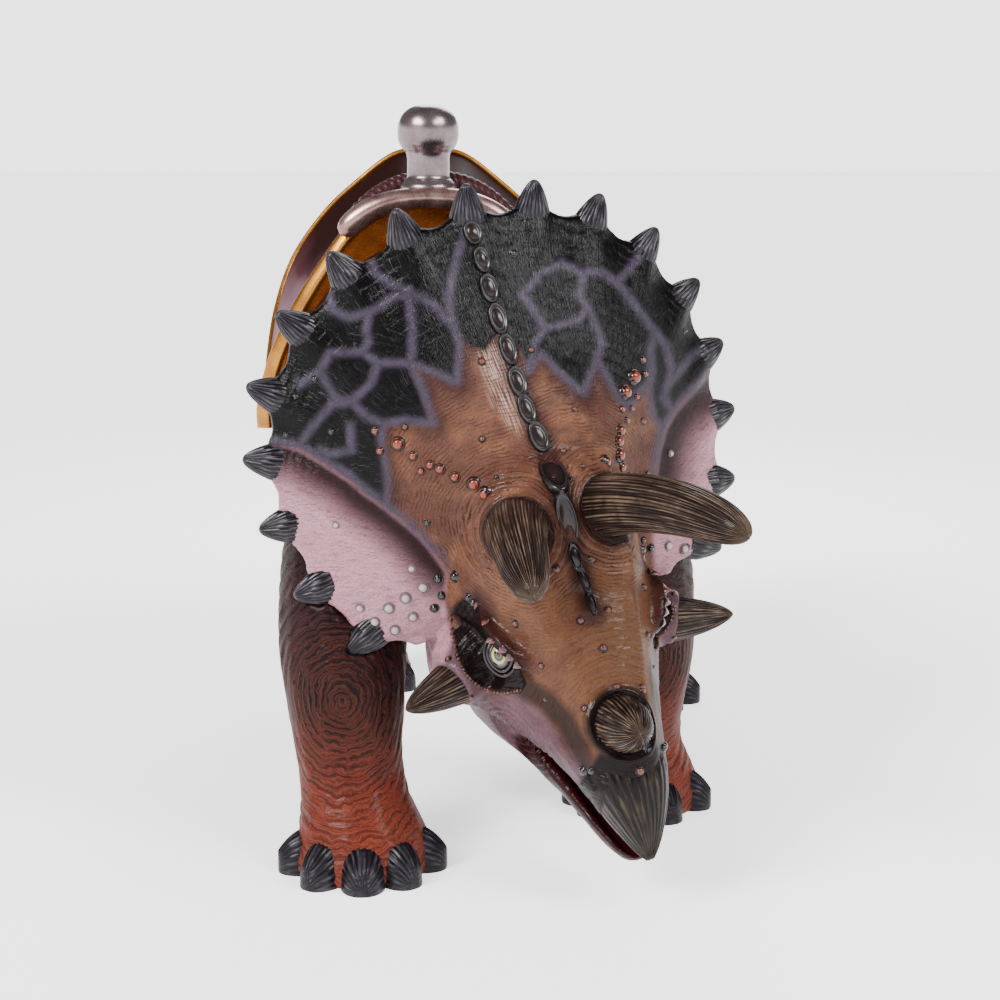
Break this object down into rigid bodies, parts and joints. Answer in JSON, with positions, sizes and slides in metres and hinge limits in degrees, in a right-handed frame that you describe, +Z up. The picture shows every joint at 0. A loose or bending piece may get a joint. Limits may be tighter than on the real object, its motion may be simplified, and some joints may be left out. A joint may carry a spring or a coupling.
{
  "type": "horned dinosaur statue with a saddle",
  "caption": "Moulded, painted horned dinosaur that stands on four feet with its head low and turned, wearing a horned riding saddle and a belly strap.",
  "frame": {"origin": "under the middle of the statue's bounding box, on the floor", "axes": "+Z up; the statue faces -Y, with its tail towards +Y and its own right side at -X"},
  "size_m": [0.7756, 1.8528, 1.087],
  "materials": {
    "skin": "glass-fibre resin, painted rust and brown, half gloss",
    "frill": "glass-fibre resin, painted near black with grey veins, half gloss",
    "horn": "resin, painted taupe with fine lengthwise grooves",
    "eye": "painted yellow and varnished",
    "leather": "moulded as leather, painted mauve brown, glossy",
    "gold": "gold paint, satin",
    "silver": "silver paint, satin"
  },
  "bodies": {
    "root": {"torso": "skin", "neck": "skin", "tail": "skin", "front_leg_right": "skin", "front_leg_left": "skin", "hind_leg_right": "skin", "hind_leg_left": "skin", "head": "skin", "lower_jaw": "horn", "beak": "horn", "frill": "frill", "brow_horn_right": "horn", "brow_horn_left": "horn", "nose_horn": "horn", "cheek_horn_right": "horn", "cheek_horn_left": "horn", "eye_right": "eye", "eye_left": "eye", "saddle_seat": "leather", "saddle_front_trim": "gold", "saddle_rear_trim": "gold", "saddle_fork": "silver", "saddle_horn": "silver", "saddle_rope": "leather", "girth": "leather"}
  },
  "joints": []
}
